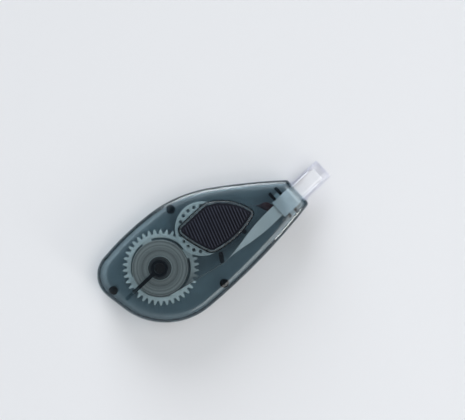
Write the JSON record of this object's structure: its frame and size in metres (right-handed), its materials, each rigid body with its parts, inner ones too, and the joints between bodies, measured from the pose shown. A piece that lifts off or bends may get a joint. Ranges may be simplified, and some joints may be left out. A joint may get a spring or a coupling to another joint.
{
  "type": "correction tape dispenser",
  "caption": "Hand-held correction tape dispenser with a smoke see-through teardrop case, geared supply and take-up reels, ribbed thumb grip, white applicator and clear pull-off cap.",
  "frame": {"origin": "where the supply reel's axis meets the flat back face", "axes": "+X along the line of the two reels towards the applicator, +Y towards the case's shoulder, +Z out of the front face"},
  "size_m": [0.0919, 0.0417, 0.0128],
  "materials": {
    "smoke_case": "polished see-through smoke",
    "grip_rubber": "satin",
    "white_plastic": "semi-gloss",
    "clear_cap": "polished clear",
    "reel_plastic": "moulded natural",
    "washer_plastic": "matt",
    "collar_plastic": "matt",
    "tape_roll": "wound edge",
    "used_film": "glossy film",
    "fresh_tape": "matt white coat"
  },
  "bodies": {
    "case": {"back_cover": "smoke_case", "front_cover": "smoke_case", "thumb_grip": "grip_rubber", "applicator_head": "white_plastic", "fresh_tape_strand": "fresh_tape", "used_film_strand": "used_film"},
    "supply_drive": {"supply_gear": "reel_plastic", "friction_washer": "washer_plastic", "clutch_collar": "collar_plastic"},
    "supply_reel": {"supply_core": "reel_plastic", "fresh_tape_roll": "tape_roll"},
    "take_up_reel": {"take_up_pinion": "collar_plastic", "take_up_flange": "reel_plastic", "used_film_roll": "used_film"},
    "cap": {"cap": "clear_cap"}
  },
  "joints": [
    {"name": "supply_gear_spin", "type": "hinge", "parent": "case", "child": "supply_drive", "pos_m": [0, 0, 0.006], "axis": [0, 0, 1], "continuous": true},
    {"name": "take_up_spin", "type": "hinge", "parent": "case", "child": "take_up_reel", "pos_m": [0.02175, 0, 0.006], "axis": [0, 0, 1], "continuous": true},
    {"name": "clutch_slip", "type": "hinge", "parent": "supply_drive", "child": "supply_reel", "pos_m": [0, 0, 0.006], "axis": [0, 0, 1], "continuous": true},
    {"name": "cap_pull", "type": "slide", "parent": "case", "child": "cap", "axis": [1, 0, 0], "range_m": [0, 0.016]}
  ],
  "couplings": [
    {"joint": "take_up_spin", "follows": "supply_gear_spin", "ratio": -1.7273}
  ]
}
